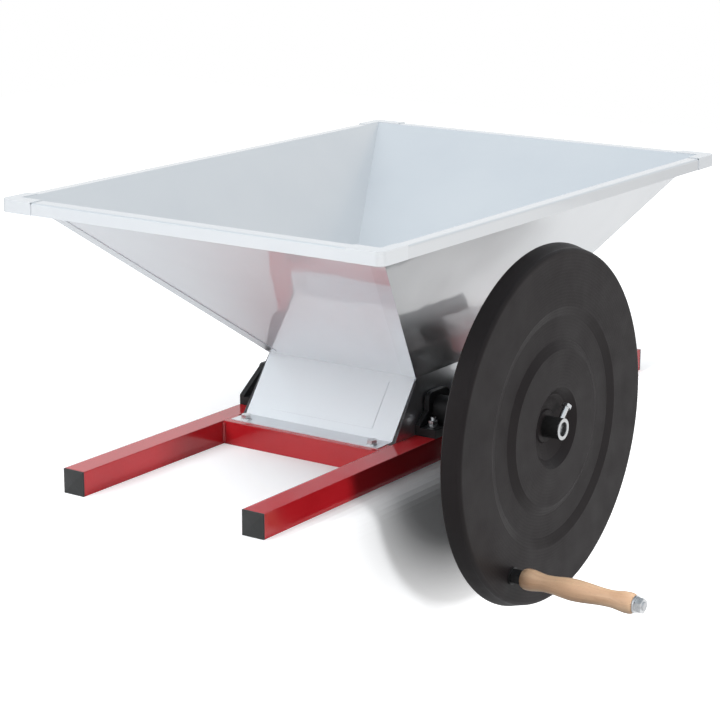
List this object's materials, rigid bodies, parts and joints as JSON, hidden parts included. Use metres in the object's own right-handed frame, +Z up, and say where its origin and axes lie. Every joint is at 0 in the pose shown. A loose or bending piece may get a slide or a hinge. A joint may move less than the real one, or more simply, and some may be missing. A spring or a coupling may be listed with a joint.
{
  "type": "grape crusher",
  "caption": "Hand-cranked grape crusher: flared sheet-steel hopper on a red tube frame over geared fluted rollers, turned by a black flywheel with a wooden grip.",
  "frame": {"origin": "midway between the two long rails and midway along the hopper, on the plane of the rails' undersides, where the frame rests on a vat", "axes": "+X along the roller shafts towards the flywheel, +Y along the rails towards the back, +Z up"},
  "size_m": [0.8373, 1.018, 0.5615],
  "materials": {
    "red_paint": "gloss",
    "stainless": "bright",
    "zinc": "satin",
    "shaft_steel": "satin",
    "black_steel": "satin",
    "gear_iron": "oiled",
    "cast_alloy": "cast",
    "black_nylon": "moulded",
    "white_nylon": "turned",
    "cap_plastic": "moulded",
    "wheel_plastic": "satin",
    "beech": "varnished"
  },
  "bodies": {
    "frame": {"left_rail": "red_paint", "right_rail": "red_paint", "front_cross_rail": "red_paint", "rear_cross_rail": "red_paint", "rail_end_caps": "cap_plastic", "hopper_front_panel": "stainless", "hopper_rear_panel": "stainless", "hopper_left_panel": "stainless", "hopper_right_panel": "stainless", "front_left_rim_corner": "stainless", "front_right_rim_corner": "stainless", "rear_left_rim_corner": "stainless", "rear_right_rim_corner": "stainless", "deflector_bolts": "zinc", "deflector_washers": "zinc", "deflector_nuts": "zinc", "side_rivets": "zinc", "front_left_bearing": "black_nylon", "front_right_bearing": "black_nylon", "rear_left_bearing": "black_nylon", "rear_right_bearing": "black_nylon", "bearing_bolts": "zinc", "bearing_washers": "zinc", "bearing_nuts": "zinc"},
    "drive_train": {"front_shaft": "shaft_steel", "front_roller": "cast_alloy", "front_roller_pins": "zinc", "front_roller_spacers": "white_nylon", "drive_gear": "gear_iron", "drive_gear_pin": "zinc", "flywheel": "wheel_plastic", "hub_sleeve": "black_steel", "hub_bolt": "zinc", "crank_spindle": "zinc", "crank_washers": "black_steel", "crank_front_nut": "black_steel", "crank_back_nut": "black_steel", "grip_washer": "zinc", "grip_end_nut": "zinc"},
    "rear_train": {"rear_shaft": "shaft_steel", "rear_roller": "cast_alloy", "rear_roller_pins": "zinc", "rear_roller_spacers": "white_nylon", "driven_gear": "gear_iron", "driven_gear_pin": "zinc"},
    "grip": {"hand_grip": "beech"}
  },
  "joints": [
    {"name": "flywheel_spin", "type": "hinge", "parent": "frame", "child": "drive_train", "pos_m": [0, -0.054, 0.0655], "axis": [1, 0, 0], "continuous": true},
    {"name": "rear_roller_spin", "type": "hinge", "parent": "frame", "child": "rear_train", "pos_m": [0, 0.054, 0.0655], "axis": [1, 0, 0], "continuous": true},
    {"name": "grip_spin", "type": "hinge", "parent": "drive_train", "child": "grip", "pos_m": [0.428, -0.16267, -0.11536], "axis": [1, 0, 0], "continuous": true}
  ],
  "couplings": [
    {"joint": "rear_roller_spin", "follows": "flywheel_spin", "ratio": -1}
  ]
}
